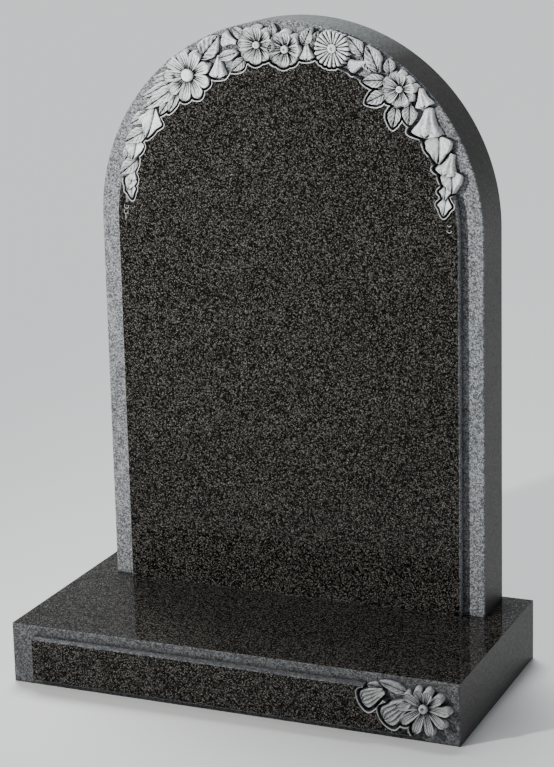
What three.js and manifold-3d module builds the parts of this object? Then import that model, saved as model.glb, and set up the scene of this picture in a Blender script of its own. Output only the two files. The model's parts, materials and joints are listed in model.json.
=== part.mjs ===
// A granite headstone with a round top and a carved garland of flowers, standing on its carved base.
// Sizes are in millimetres. X runs to the right, Y from front to back and Z up.
import * as THREE from 'three';
import { mergeVertices } from 'three/addons/utils/BufferGeometryUtils.js';
import Module from 'manifold-3d';

const wasm = await Module();
wasm.setup();

// Upright stone: a slab with a sunk margin along its sides and top, round a raised polished panel
const stoneWidth = 530;
const stoneHeight = 762;
const stoneThickness = 75;
const stoneMargin = 29;
const stonePanelRelief = 12;

// Base: a block with a raised polished panel in sunk margins on its front, and carving at its right end
const baseWidth = 610;
const baseDepth = 305;
const baseHeight = 80;
const baseEndMargin = 34.5;
const baseTopMargin = 12.5;
const baseBottomMargin = 11;
const basePanelRelief = 14;

// The stone stands near the back of the base, on a thin bed
const backLedge = 8;
const bedGap = 0.3;

// Carving: forms stand on the sunk ground, and a groove parts them from the polished panel
const grooveWidth = 3.5;
const rootDepth = 1;
const edgeClearance = 2;
const leafFold = 2;
const petalFold = 1.5;
const petalStartShare = 0.6;
const mostFoldedPetals = 12;
const grooveEndShare = 0.35;

// Facets of a half round arch and of a button
const archFacets = 60;
const buttonFacets = 10;

// Half widths of the carved forms from stem (0) to tip (1), as shares of half the form's full width
const outlines = {
  lance: [[0, 0.15], [0.2, 0.72], [0.48, 1], [0.78, 0.62], [1, 0.05]],
  heart: [[0, 0.45], [0.12, 0.88], [0.28, 1], [0.5, 0.82], [0.78, 0.4], [1, 0.05]],
  ivy: [[0, 0.25], [0.2, 0.55], [0.42, 1], [0.6, 0.66], [0.8, 0.4], [1, 0.05]],
  bell: [[0, 0.3], [0.25, 0.4], [0.5, 0.6], [0.75, 0.92], [0.9, 1], [1, 0.8]],
  petal: [[0, 0.3], [0.42, 0.8], [0.78, 1], [1, 0.42]],
  floret: [[0, 0.4], [1, 1]],
};

// The dome of a flower's button, from its rim to its middle, as shares of its radius and height
const buttonDome = [[1, 0.85], [0.7, 0.96], [0, 1]];

// The garland, from its left end to its right end. Each leaf grows from a place on the arch: along is in
// degrees from the left springing, out is its distance outside the panel's edge and turn is where it points,
// in degrees from the right. Root and tip are its heights above the sunk ground, as shares of the relief.
const garlandLeaves = [
  { outline: 'ivy', along: 13, out: -13, turn: 278, long: 21, wide: 14, root: 0.75, tip: 1.08 },
  { outline: 'heart', along: 15, out: -14, turn: 250, long: 19, wide: 17, root: 0.72, tip: 1.08 },
  { outline: 'bell', along: 18.5, out: -12, turn: 261, long: 18, wide: 16, root: 0.65, tip: 1 },
  { outline: 'lance', along: 22, out: -15, turn: 220, long: 34, wide: 20, root: 0.65, tip: 1 },
  { outline: 'lance', along: 25, out: 5, turn: 253, long: 27, wide: 14, root: 0.25, tip: 0.4 },
  { outline: 'heart', along: 27, out: -2, turn: 263, long: 26, wide: 28, root: 0.65, tip: 1.08 },
  { outline: 'lance', along: 32.5, out: -11, turn: 208, long: 36, wide: 20, root: 0.65, tip: 1 },
  { outline: 'lance', along: 37, out: 2, turn: 213, long: 30, wide: 16, root: 0.25, tip: 0.4 },
  { outline: 'ivy', along: 39.5, out: -2, turn: 256, long: 40, wide: 36, root: 0.6, tip: 1.08 },
  { outline: 'lance', along: 52.5, out: -6, turn: 213, long: 63, wide: 20, root: 0.75, tip: 0.9 },
  { outline: 'lance', along: 50.5, out: -9, turn: 247, long: 33, wide: 14, root: 0.65, tip: 0.9 },
  { outline: 'lance', along: 48.5, out: -7, turn: 238, long: 36, wide: 16, root: 0.65, tip: 0.9 },
  { outline: 'lance', along: 51.5, out: 2, turn: 206, long: 55, wide: 12, root: 0.65, tip: 0.6 },
  { outline: 'lance', along: 52, out: 6, turn: 198, long: 38, wide: 10, root: 0.6, tip: 0.4 },
  { outline: 'lance', along: 52.5, out: 10, turn: 194, long: 34, wide: 9, root: 0.5, tip: 0.35 },
  { outline: 'bell', along: 68.5, out: 0, turn: 266, long: 29, wide: 26, root: 0.5, tip: 1 },
  { outline: 'lance', along: 62, out: 6, turn: 49, long: 41, wide: 27, root: 0.75, tip: 0.65 },
  { outline: 'lance', along: 68.5, out: -4, turn: 17, long: 30, wide: 14, root: 0.9, tip: 1.08 },
  { outline: 'bell', along: 75.5, out: 8, turn: 165, long: 20, wide: 22, root: 0.65, tip: 0.85 },
  { outline: 'lance', along: 77.5, out: -14, turn: 222, long: 24, wide: 16, root: 0.65, tip: 1 },
  { outline: 'lance', along: 78.5, out: 10, turn: 142, long: 23, wide: 13, root: 0.5, tip: 0.4 },
  { outline: 'lance', along: 87.5, out: 5, turn: 93, long: 20, wide: 12, root: 0.65, tip: 0.75 },
  { outline: 'lance', along: 97.5, out: 1, turn: 62, long: 24, wide: 17, root: 0.75, tip: 0.9 },
  { outline: 'lance', along: 101, out: -2, turn: 75, long: 23, wide: 15, root: 0.6, tip: 0.75 },
  { outline: 'bell', along: 98.5, out: 5, turn: 270, long: 22, wide: 22, root: 0.65, tip: 1 },
  { outline: 'lance', along: 116.5, out: 13, turn: 129, long: 32, wide: 17, root: 0.65, tip: 0.75 },
  { outline: 'lance', along: 123, out: 6, turn: 114, long: 37, wide: 21, root: 0.85, tip: 0.85 },
  { outline: 'bell', along: 118, out: 8, turn: 198, long: 23, wide: 18, root: 0.75, tip: 1 },
  { outline: 'lance', along: 116, out: 14, turn: 304, long: 26, wide: 16, root: 0.6, tip: 0.75 },
  { outline: 'lance', along: 126, out: 12, turn: 93, long: 20, wide: 14, root: 0.65, tip: 0.75 },
  { outline: 'lance', along: 126, out: 3, turn: 182, long: 29, wide: 18, root: 0.65, tip: 1 },
  { outline: 'lance', along: 128.5, out: -9, turn: 206, long: 28, wide: 18, root: 0.65, tip: 1 },
  { outline: 'lance', along: 133.5, out: -13, turn: 264, long: 27, wide: 18, root: 0.6, tip: 1 },
  { outline: 'lance', along: 136, out: 2, turn: 272, long: 26, wide: 18, root: 0.65, tip: 1.08 },
  { outline: 'bell', along: 135, out: 25, turn: 286, long: 25, wide: 24, root: 0.6, tip: 1.08 },
  { outline: 'bell', along: 140.5, out: 18, turn: 265, long: 38, wide: 44, root: 0.6, tip: 1.15 },
  { outline: 'heart', along: 149, out: 7, turn: 273, long: 33, wide: 35, root: 0.65, tip: 1.15 },
  { outline: 'bell', along: 155, out: 13, turn: 252, long: 29, wide: 30, root: 0.6, tip: 1.08 },
  { outline: 'heart', along: 160, out: 3, turn: 277, long: 26, wide: 28, root: 0.65, tip: 1.15 },
  { outline: 'ivy', along: 163.5, out: -8, turn: 267, long: 18, wide: 16, root: 0.75, tip: 1.08 },
  { outline: 'ivy', along: 167, out: -11, turn: 263, long: 24, wide: 19, root: 0.85, tip: 1.12 },
];

// The five flowers: reach is the petals' length from the middle, first is where the first petal points,
// and inner, outer and rise are the heights of the petals' two ends and of the button.
const garlandFlowers = [
  { along: 56, out: -3, petals: 9, reach: 34, wide: 17,
    first: 263, button: 8, inner: 0.8, outer: 1.08, rise: 1.2 },
  { along: 82, out: 0, petals: 8, reach: 25, wide: 17,
    first: 90, button: 5.5, inner: 0.8, outer: 1.04, rise: 1.1 },
  { along: 91.5, out: -7, petals: 8, reach: 23, wide: 18,
    first: 267, button: 6, inner: 0.8, outer: 1.08, rise: 1.1 },
  { along: 107, out: 6, petals: 22, reach: 23.5, wide: 6,
    first: 0, button: 7, inner: 0.9, outer: 1, rise: 1.2 },
  { along: 131, out: 6, petals: 10, reach: 22.5, wide: 13,
    first: 6, button: 5, inner: 0.8, outer: 1.08, rise: 1.1 },
];

// A pocket of sunk ground between two leaves
const garlandPockets = [
  { outline: 'lance', along: 71, out: -6, turn: 273, long: 22, wide: 10 },
];

// The panel's arch steps inwards under the garland, between these degrees from the left springing
const garlandStart = 14;
const garlandEnd = 167;
const panelArchStep = 14;

// The spray on the base is drawn in hundredths of the base panel's height, from the base's right end and
// from the bottom of the panel. Its upper petals are shorter than the others.
const sprayFlower = {
  fromEnd: 77, up: 62, petals: 10, reach: 61, wide: 23,
  first: 0, button: 13.5, inner: 0.7, outer: 0.93, rise: 1,
};
const upperPetalShare = 0.72;
const sprayLeaves = [
  { outline: 'lance', fromEnd: 108, up: 62, turn: 208, long: 74, wide: 46, root: 0.6, tip: 0.9 },
  { outline: 'heart', fromEnd: 166, up: 76, turn: 203, long: 52, wide: 44, root: 0.5, tip: 0.8 },
  { outline: 'lance', fromEnd: 112, up: 90, turn: 163, long: 68, wide: 22, root: 0.5, tip: 0.55 },
  { outline: 'lance', fromEnd: 168, up: 92, turn: 172, long: 38, wide: 22, root: 0.35, tip: 0.45 },
];

// A pocket of sunk ground among the leaves, and where the panel ends behind the flower
const sprayPockets = [
  { outline: 'lance', fromEnd: 118, up: 80, turn: 180, long: 48, wide: 22 },
];
const sprayPanelEnd = 100;

// Granite colours: the upright stone's polish is a little darker than the base's
const stoneGranite = { color: 0x3a3836, roughness: 0.3, metalness: 0 };
const baseGranite = { color: 0x45413d, roughness: 0.3, metalness: 0 };

// Sizes that follow from the ones above
const archRadius = stoneWidth / 2;
const springLine = stoneHeight - archRadius;
const panelArchRadius = archRadius - stoneMargin;
const basePanelHeight = baseHeight - baseTopMargin - baseBottomMargin;
const sprayUnit = basePanelHeight / 100;
const basePanelRight = baseWidth / 2 - sprayUnit * sprayPanelEnd;
const baseFaceY = -(baseDepth - basePanelRelief) / 2;
const stoneFaceY = baseFaceY + baseDepth - backLedge - stoneThickness;

// A closed geometry as a solid. Corners that coincide are merged and collapsed triangles dropped.
function solidFrom(geometry) {
  const bare = geometry.clone();
  bare.deleteAttribute('normal');
  bare.deleteAttribute('uv');
  const merged = mergeVertices(bare);
  const corners = Array.from(merged.index.array);
  const triangles = [];
  for (let i = 0; i < corners.length; i += 3) {
    const [a, b, c] = corners.slice(i, i + 3);
    if (a !== b && b !== c && c !== a) {
      triangles.push(a, b, c);
    }
  }
  return new wasm.Manifold(new wasm.Mesh({
    numProp: 3,
    vertProperties: merged.getAttribute('position').array,
    triVerts: new Uint32Array(triangles),
  }));
}

function geometryFrom(solid) {
  const mesh = solid.getMesh();
  const geometry = new THREE.BufferGeometry();
  geometry.setAttribute('position', new THREE.BufferAttribute(mesh.vertProperties, 3));
  geometry.setIndex(new THREE.BufferAttribute(mesh.triVerts, 1));
  geometry.computeVertexNormals();
  return geometry;
}

// A prism on the face: its outline lies in X and Y, and it runs outwards from one height to another
function prism(shape, fromHeight, toHeight) {
  const geometry = new THREE.ExtrudeGeometry(shape, {
    depth: toHeight - fromHeight,
    bevelEnabled: false,
  });
  geometry.translate(0, 0, fromHeight);
  return solidFrom(geometry);
}

function rectangle(left, bottom, right, top) {
  return new THREE.Shape([
    new THREE.Vector2(left, bottom),
    new THREE.Vector2(right, bottom),
    new THREE.Vector2(right, top),
    new THREE.Vector2(left, top),
  ]);
}

// A place along and across a form, as a place on the face
function onFace(form, along, across) {
  const turn = THREE.MathUtils.degToRad(form.turn);
  return new THREE.Vector2(
    form.x + along * Math.cos(turn) - across * Math.sin(turn),
    form.y + along * Math.sin(turn) + across * Math.cos(turn),
  );
}

// A leaf or petal: five-cornered sections from stem to tip, folded along the middle like a shallow gutter
function carvedForm(form) {
  const positions = [];
  const triangles = [];
  const corners = 5;
  const sections = outlines[form.outline];
  for (const [share, widthShare] of sections) {
    const half = form.wide / 2 * widthShare;
    const height = form.relief * THREE.MathUtils.lerp(form.root, form.tip, share);
    const middle = height - (form.fold ?? leafFold);
    const section = [[-half, -rootDepth], [-half, height], [0, middle], [half, height], [half, -rootDepth]];
    for (const [across, out] of section) {
      const place = onFace(form, share * form.long, across);
      positions.push(place.x, place.y, out);
    }
  }
  for (let step = 0; step < sections.length - 1; step += 1) {
    for (let corner = 0; corner < corners; corner += 1) {
      const here = step * corners;
      const beyond = here + corners;
      const other = (corner + 1) % corners;
      triangles.push(here + corner, beyond + other, here + other);
      triangles.push(here + corner, beyond + corner, beyond + other);
    }
  }
  const last = (sections.length - 1) * corners;
  triangles.push(2, 3, 4, 2, 4, 0, 2, 0, 1);
  triangles.push(last + 2, last + 4, last + 3, last + 2, last, last + 4, last + 2, last + 1, last);
  const geometry = new THREE.BufferGeometry();
  geometry.setAttribute('position', new THREE.Float32BufferAttribute(positions, 3));
  geometry.setIndex(triangles);
  return solidFrom(geometry);
}

// The ground cut round a form: its outline grown by the groove, taken through the panel's whole relief
function grooveRound(form) {
  const near = [];
  const far = [];
  const addPair = (along, half) => {
    near.push(onFace(form, along, -half));
    far.unshift(onFace(form, along, half));
  };
  const halves = outlines[form.outline].map(([share, widthShare]) => [share, form.wide / 2 * widthShare]);
  addPair(-grooveWidth, halves[0][1] + grooveWidth * grooveEndShare);
  for (const [share, half] of halves) {
    addPair(share * form.long, half + grooveWidth);
  }
  addPair(form.long + grooveWidth, halves.at(-1)[1] + grooveWidth * grooveEndShare);
  return prism(new THREE.Shape([...near, ...far]), 0, form.relief + rootDepth);
}

// The round button in the middle of a flower, a low dome let into the ground
function button(flower) {
  const profile = [new THREE.Vector2(0, -rootDepth), new THREE.Vector2(flower.button, -rootDepth)];
  for (const [radiusShare, heightShare] of buttonDome) {
    const height = flower.relief * flower.rise * heightShare;
    profile.push(new THREE.Vector2(flower.button * radiusShare, height));
  }
  const geometry = new THREE.LatheGeometry(profile, buttonFacets);
  geometry.rotateX(Math.PI / 2);
  geometry.translate(flower.x, flower.y, 0);
  return solidFrom(geometry);
}

// A flower's petals, each starting under the button's rim. The many petals of a full flower are plainer.
function petalsOf(flower, lengthAt) {
  const full = flower.petals > mostFoldedPetals;
  const start = flower.button * petalStartShare;
  const petals = [];
  for (let count = 0; count < flower.petals; count += 1) {
    const turn = flower.first + count * 360 / flower.petals;
    const angle = THREE.MathUtils.degToRad(turn);
    petals.push({
      outline: full ? 'floret' : 'petal',
      x: flower.x + start * Math.cos(angle),
      y: flower.y + start * Math.sin(angle),
      turn,
      long: flower.reach * lengthAt(turn) - start,
      wide: flower.wide,
      root: flower.inner,
      tip: flower.outer,
      relief: flower.relief,
      fold: full ? 0 : petalFold,
    });
  }
  return petals;
}

// All forms and buttons of one carving, joined, with the ground that is cut for them
function carving(leaves, flowers, pockets, lengthAt) {
  const petals = flowers.flatMap((flower) => petalsOf(flower, lengthAt));
  const forms = [...leaves, ...petals];
  const solids = [...forms.map(carvedForm), ...flowers.map(button)];
  const grooves = [...forms, ...pockets].map(grooveRound);
  return {
    raised: solids.reduce((all, one) => all.add(one)),
    ground: grooves.reduce((all, one) => all.add(one)),
  };
}

// Places a row of the garland on the arch
function onArch(row) {
  const angle = Math.PI - THREE.MathUtils.degToRad(row.along);
  const radius = panelArchRadius + row.out;
  return {
    ...row,
    x: radius * Math.cos(angle),
    y: springLine + radius * Math.sin(angle),
    relief: stonePanelRelief,
  };
}

// Places a row of the spray on the base's front, and turns its sizes into millimetres
function onBase(row) {
  const placed = {
    ...row,
    x: baseWidth / 2 - sprayUnit * row.fromEnd,
    y: baseBottomMargin + sprayUnit * row.up,
    relief: basePanelRelief,
  };
  for (const size of ['long', 'wide', 'reach', 'button']) {
    if (size in row) {
      placed[size] = sprayUnit * row[size];
    }
  }
  return placed;
}

// Points along an arc about the middle of the arch, with the facets of the whole arch
function arcPoints(radius, fromDegrees, toDegrees) {
  const facets = Math.max(1, Math.round(archFacets * (toDegrees - fromDegrees) / 180));
  const points = [];
  for (let facet = 0; facet <= facets; facet += 1) {
    const angle = THREE.MathUtils.degToRad(fromDegrees + (toDegrees - fromDegrees) * facet / facets);
    points.push(new THREE.Vector2(radius * Math.cos(angle), springLine + radius * Math.sin(angle)));
  }
  return points;
}

// The slab's outline, moved inwards by an inset: straight sides and a half round top
function slabOutline(inset) {
  const radius = archRadius - inset;
  const foot = [new THREE.Vector2(-radius, 0), new THREE.Vector2(radius, 0)];
  return new THREE.Shape([...foot, ...arcPoints(radius, 0, 180)]);
}

// The panel's outline: its arch steps inwards where the garland lies over its edge
function stonePanelOutline() {
  const foot = [new THREE.Vector2(-panelArchRadius, 0), new THREE.Vector2(panelArchRadius, 0)];
  return new THREE.Shape([
    ...foot,
    ...arcPoints(panelArchRadius, 0, 180 - garlandEnd),
    ...arcPoints(panelArchRadius - panelArchStep, 180 - garlandEnd, 180 - garlandStart),
    ...arcPoints(panelArchRadius, 180 - garlandStart, 180),
  ]);
}

function makeHeadstone() {
  const leaves = garlandLeaves.map(onArch);
  const flowers = garlandFlowers.map(onArch);
  const pockets = garlandPockets.map(onArch);
  const garland = carving(leaves, flowers, pockets, () => 1);
  const slab = prism(slabOutline(0), -stoneThickness, 0);
  const panel = prism(stonePanelOutline(), -rootDepth, stonePanelRelief);
  const withinEdge = prism(slabOutline(edgeClearance), -rootDepth * 2, stonePanelRelief * 2);
  const solid = slab.add(panel.subtract(garland.ground)).add(garland.raised.intersect(withinEdge));
  const mesh = new THREE.Mesh(geometryFrom(solid), new THREE.MeshStandardMaterial(stoneGranite));
  mesh.name = 'headstone';
  mesh.rotation.x = Math.PI / 2;
  mesh.position.set(0, stoneFaceY, baseHeight + bedGap);
  return mesh;
}

function makeBase() {
  const petalLength = (turn) => {
    const rise = Math.sin(THREE.MathUtils.degToRad(turn));
    return 1 - (1 - upperPetalShare) * Math.max(0, rise);
  };
  const leaves = sprayLeaves.map(onBase);
  const pockets = sprayPockets.map(onBase);
  const spray = carving(leaves, [onBase(sprayFlower)], pockets, petalLength);
  const halfWidth = baseWidth / 2;
  const panelTop = baseBottomMargin + basePanelHeight;
  const block = prism(rectangle(-halfWidth, 0, halfWidth, baseHeight), -baseDepth, 0);
  const panelShape = rectangle(-halfWidth + baseEndMargin, baseBottomMargin, basePanelRight, panelTop);
  const panel = prism(panelShape, -rootDepth, basePanelRelief);
  const edgeShape = rectangle(
    -halfWidth + edgeClearance,
    edgeClearance,
    halfWidth - edgeClearance,
    baseHeight - edgeClearance,
  );
  const withinEdge = prism(edgeShape, -rootDepth * 2, basePanelRelief);
  const solid = block.add(panel.subtract(spray.ground)).add(spray.raised.intersect(withinEdge));
  const mesh = new THREE.Mesh(geometryFrom(solid), new THREE.MeshStandardMaterial(baseGranite));
  mesh.name = 'base';
  mesh.rotation.x = Math.PI / 2;
  mesh.position.set(0, baseFaceY, 0);
  return mesh;
}

const memorial = new THREE.Group();
memorial.add(makeBase(), makeHeadstone());

export default memorial;
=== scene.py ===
import json
import math

import bmesh
import bpy
from mathutils import Matrix, Vector

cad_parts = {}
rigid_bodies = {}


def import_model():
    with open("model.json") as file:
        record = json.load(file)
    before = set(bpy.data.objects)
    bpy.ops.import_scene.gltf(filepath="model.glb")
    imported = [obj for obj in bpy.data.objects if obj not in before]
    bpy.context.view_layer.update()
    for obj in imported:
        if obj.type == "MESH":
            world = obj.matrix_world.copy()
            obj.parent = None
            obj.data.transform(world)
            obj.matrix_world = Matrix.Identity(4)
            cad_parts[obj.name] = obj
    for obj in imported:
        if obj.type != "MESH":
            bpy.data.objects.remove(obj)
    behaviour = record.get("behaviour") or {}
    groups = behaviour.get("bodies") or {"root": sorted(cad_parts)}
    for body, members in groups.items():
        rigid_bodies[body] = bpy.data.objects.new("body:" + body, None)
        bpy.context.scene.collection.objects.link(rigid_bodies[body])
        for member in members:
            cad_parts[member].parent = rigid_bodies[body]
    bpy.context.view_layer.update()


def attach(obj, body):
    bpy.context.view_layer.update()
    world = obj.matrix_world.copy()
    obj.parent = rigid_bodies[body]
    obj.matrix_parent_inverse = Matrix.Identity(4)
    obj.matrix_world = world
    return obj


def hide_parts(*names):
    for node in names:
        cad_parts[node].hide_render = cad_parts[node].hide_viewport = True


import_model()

# The base: one low block of dark granite, sawn and polished, with its arrises lightly rubbed down. On its
# front a raised panel is left polished and the margins round it are sunk and frosted.
# Places on a face are given as across, up and out of it, and the finished stone is then stood upright.
base_width = 0.610
base_depth = 0.305
base_height = 0.080
base_end_margin = 0.0345
base_top_margin = 0.0125
base_bottom_margin = 0.011
base_relief = 0.014
panel_height = base_height - base_top_margin - base_bottom_margin
base_face_y = -(base_depth - base_relief) / 2
root_depth = 0.001
block_arris = 0.0011
panel_arris = 0.0012
cut_square = 0.008
grain = 0.0019
# Reach and range of the painted shade that darkens the colour in recesses and between forms
painted_shade_reach = 0.0062
painted_shade_from, painted_shade_to = 0.4, 0.95
cloud_scale = 9.0
cloud_tones = (0.88, 1.12)
speck_from, speck_to = 0.86, 0.9
# Faces that look further upward than this are painted paler, as painted light on the top
painted_light_from = 0.82
# The polished top's crystals are painted this many times paler than the panel's: painted light for the
# brighter light the top catches and reflects
mirror_painted_light = 1.5


def granite(name, shades, speck, grain, roughness, shine, bump, painted_recess_shade=1.0, upward=None):
    """Crystals of random shades, small bright specks, slow clouds of tone, and a grain that can be felt.

    The grain is a crystal's size, the bump the depth of the pits. In tight hollows and between forms the
    colour is darkened as painted shade, down to a share of the open face's colour that is given as an
    argument. A face that looks upward is painted paler, painted light for the light that falls on it, by the
    factors in upward.
    """
    material = bpy.data.materials.new(name)
    material.use_nodes = True
    tree = material.node_tree
    shader = tree.nodes["Principled BSDF"]

    def add(kind, settings=(), **values):
        node = tree.nodes.new(kind)
        for key, value in settings:
            setattr(node, key, value)
        for key, value in values.items():
            node.inputs[key.replace("_", " ")].default_value = value
        return node

    def join(source, output, target, socket):
        tree.links.new(source.outputs[output], target.inputs[socket])

    def mixed(blend, factor, first, second):
        """The mix of two colours. They and the factor are values or other nodes' outputs."""
        node = add("ShaderNodeMix", [("data_type", "RGBA"), ("blend_type", blend)])
        for key, value in (("Factor", factor), (6, first), (7, second)):
            if isinstance(value, bpy.types.NodeSocket):
                tree.links.new(value, node.inputs[key])
            else:
                node.inputs[key].default_value = value
        return node.outputs[2]

    place = add("ShaderNodeTexCoord")
    ripple = add("ShaderNodeTexNoise", Scale=1.6 / grain, Detail=2.0)
    join(place, "Object", ripple, "Vector")
    centred = add("ShaderNodeVectorMath", [("operation", "SUBTRACT")])
    centred.inputs[1].default_value = (0.5, 0.5, 0.5)
    join(ripple, "Color", centred, 0)
    shift = add("ShaderNodeVectorMath", [("operation", "SCALE")], Scale=grain * 1.1)
    join(centred, "Vector", shift, 0)
    bent = add("ShaderNodeVectorMath", [("operation", "ADD")])
    join(place, "Object", bent, 0)
    join(shift, "Vector", bent, 1)

    crystals = add("ShaderNodeTexVoronoi", Scale=1.0 / grain)
    join(bent, "Vector", crystals, "Vector")
    chance = add("ShaderNodeSeparateColor")
    join(crystals, "Color", chance, "Color")
    ramp = add("ShaderNodeValToRGB")
    ramp.color_ramp.interpolation = "LINEAR"
    stops = ramp.color_ramp.elements
    while len(stops) < len(shades):
        stops.new(0.5)
    for stop, (share, shade) in zip(stops, shades):
        stop.position = share
        stop.color = (*shade, 1.0)
    join(chance, "Red", ramp, "Fac")

    clouds = add("ShaderNodeTexNoise", Scale=cloud_scale, Detail=3.0)
    join(place, "Object", clouds, "Vector")
    dim, bright = cloud_tones
    tone = add("ShaderNodeMapRange", From_Min=0.3, From_Max=0.7, To_Min=dim, To_Max=bright)
    join(clouds, "Fac", tone, "Value")
    colour = mixed("MULTIPLY", 1.0, ramp.outputs["Color"], tone.outputs["Result"])

    specks = add("ShaderNodeTexVoronoi", Scale=1.9 / grain)
    join(bent, "Vector", specks, "Vector")
    odds = add("ShaderNodeSeparateColor")
    join(specks, "Color", odds, "Color")
    rare = add("ShaderNodeMapRange", From_Min=speck_from, From_Max=speck_to)
    join(odds, "Green", rare, "Value")
    colour = mixed("MIX", rare.outputs["Result"], colour, (*speck, 1.0))

    # Painted shade: ambient occlusion darkens the colour in tight recesses and between forms, down to the
    # given share
    if painted_recess_shade < 1:
        recess_occlusion = add("ShaderNodeAmbientOcclusion", [("samples", 8)], Distance=painted_shade_reach)
        painted_recess_darkening = add("ShaderNodeMapRange", From_Min=painted_shade_from, From_Max=painted_shade_to, To_Min=painted_recess_shade)
        join(recess_occlusion, "AO", painted_recess_darkening, "Value")
        colour = mixed("MULTIPLY", 1.0, colour, painted_recess_darkening.outputs["Result"])
    # Painted light: faces that look upward are painted paler by the factors in upward, for the light that
    # falls on them
    if upward:
        facing = add("ShaderNodeNewGeometry")
        parts = add("ShaderNodeSeparateXYZ")
        join(facing, "Normal", parts, "Vector")
        painted_top_light = add("ShaderNodeMapRange", From_Min=painted_light_from, From_Max=1.0)
        join(parts, "Z", painted_top_light, "Value")
        painted_top_tint = mixed("MIX", painted_top_light.outputs["Result"], (1.0, 1.0, 1.0, 1.0), (*upward, 1.0))
        colour = mixed("MULTIPLY", 1.0, colour, painted_top_tint)
    tree.links.new(colour, shader.inputs["Base Color"])
    shader.inputs["Specular IOR Level"].default_value = shine

    low, high = roughness
    sheen = add("ShaderNodeMapRange", To_Min=low, To_Max=high)
    join(chance, "Blue", sheen, "Value")
    tree.links.new(sheen.outputs["Result"], shader.inputs["Roughness"])
    if bump:
        pits = add("ShaderNodeTexNoise", Scale=1.3 / grain, Detail=4.0, Roughness=0.65)
        join(place, "Object", pits, "Vector")
        relief = add("ShaderNodeBump", Strength=1.0, Distance=bump)
        join(pits, "Fac", relief, "Height")
        tree.links.new(relief.outputs["Normal"], shader.inputs["Normal"])
    return material


def shades_of(strength, *shades):
    """Shades of crystals as (share, colour), each colour times the strength."""
    return [(share, tuple(strength * channel for channel in colour)) for share, colour in shades]


# The block's frosted and carved stone is painted this share as pale as the headstone's: painted shade for
# the dimmer light on the base, as the granite is the same
base_painted_shade = 0.49
polished_shades = shades_of(
    0.86, (0.0, (0.0014, 0.0012, 0.0010)), (0.5, (0.0040, 0.0036, 0.0031)),
    (0.8, (0.014, 0.0128, 0.0112)), (1.0, (0.066, 0.061, 0.055)),
)
frosted_shades = ((0.0, (0.040, 0.042, 0.046)), (0.5, (0.102, 0.108, 0.116)), (1.0, (0.262, 0.270, 0.282)))
carved_shades = ((0.0, (0.40, 0.41, 0.42)), (0.4, (0.74, 0.75, 0.76)), (1.0, (0.93, 0.94, 0.95)))
# Each finish ends with the share of its colour that the painted shade leaves in recesses
frosted_finish = {
    "grain": grain, "roughness": (0.75, 0.9), "shine": 0.3, "bump": 0.00025, "painted_recess_shade": 0.35,
}
carved_finish = {
    "grain": grain * 0.7, "roughness": (0.8, 0.95), "shine": 0.25, "bump": 0.0005, "painted_recess_shade": 0.02,
}
polished = granite(
    "polished granite", polished_shades, (0.14, 0.132, 0.120),
    grain=grain, roughness=(0.05, 0.10), shine=0.05, bump=0.0,
)
# The polished top: the panel's granite painted paler, as painted light
mirror = granite(
    "polished top", shades_of(mirror_painted_light, *polished_shades), (0.14, 0.13, 0.12),
    grain=grain, roughness=(0.03, 0.07), shine=0.35, bump=0.0,
)
# The base's frosted and carved finishes are the headstone's, darkened as painted shade
frosted = granite(
    "frosted granite", shades_of(base_painted_shade, *frosted_shades), (0.17, 0.175, 0.18), **frosted_finish
)
carved = granite(
    "pointed granite", shades_of(base_painted_shade, *carved_shades), (0.36, 0.365, 0.37), **carved_finish
)
honed_shades = shades_of(
    0.76, (0.0, (0.026, 0.0243, 0.0220)), (0.5, (0.040, 0.0375, 0.0340)), (1.0, (0.060, 0.0565, 0.0515))
)
# The honed sides and top are painted much paler where they look upward: painted light on the slab's top
honed = granite(
    "honed granite", honed_shades, (0.072, 0.070, 0.065),
    grain=grain, roughness=(0.45, 0.6), shine=0.3, bump=0.00004, upward=(6.9, 7.7, 8.4),
)


def lofted(name, rings, wall_materials, back_material, front_material):
    """A closed mesh through rings of as many points each, from the back one to the front one."""
    mesh = bpy.data.meshes.new(name)
    shape = bmesh.new()
    loops = [[shape.verts.new(point) for point in ring] for ring in rings]
    count = len(loops[0])
    for step, material in enumerate(wall_materials):
        here, beyond = loops[step], loops[step + 1]
        for i in range(count):
            j = (i + 1) % count
            shape.faces.new((here[i], here[j], beyond[j], beyond[i])).material_index = material
    shape.faces.new(list(reversed(loops[0]))).material_index = back_material
    shape.faces.new(loops[-1]).material_index = front_material
    shape.to_mesh(mesh)
    shape.free()
    return mesh


def divided(mesh, spacing):
    """Divides the faces that look straight out of the stone into small squares, which are cut cleanly."""
    shape = bmesh.new()
    shape.from_mesh(mesh)
    for axis in (0, 1):
        places = [vert.co[axis] for vert in shape.verts]
        low, high = min(places), max(places)
        cuts = int((high - low) / spacing)
        for cut in range(1, cuts):
            co, normal = Vector(), Vector()
            co[axis] = low + (high - low) * cut / cuts
            normal[axis] = 1.0
            fronts = [face for face in shape.faces if face.normal.z > 0.999]
            edges = {edge for face in fronts for edge in face.edges}
            verts = {vert for face in fronts for vert in face.verts}
            bmesh.ops.bisect_plane(
                shape, geom=[*fronts, *edges, *verts], plane_co=co, plane_no=normal, dist=1e-6
            )
    shape.to_mesh(mesh)
    shape.free()
    return mesh


def boxed(left, bottom, right, top, inset, out):
    """A rectangle drawn in on every side, this far out of the face."""
    return [
        (left + inset, bottom + inset, out),
        (right - inset, bottom + inset, out),
        (right - inset, top - inset, out),
        (left + inset, top - inset, out),
    ]


POLISHED, FROSTED, HONED, CARVED, MIRROR = range(5)
base_finishes = (polished, frosted, honed, carved, mirror)


def dressed(mesh, finishes):
    """Gives the mesh its finishes, in the order that its faces are numbered by."""
    for finish in finishes:
        mesh.materials.append(finish)
    return mesh


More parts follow.
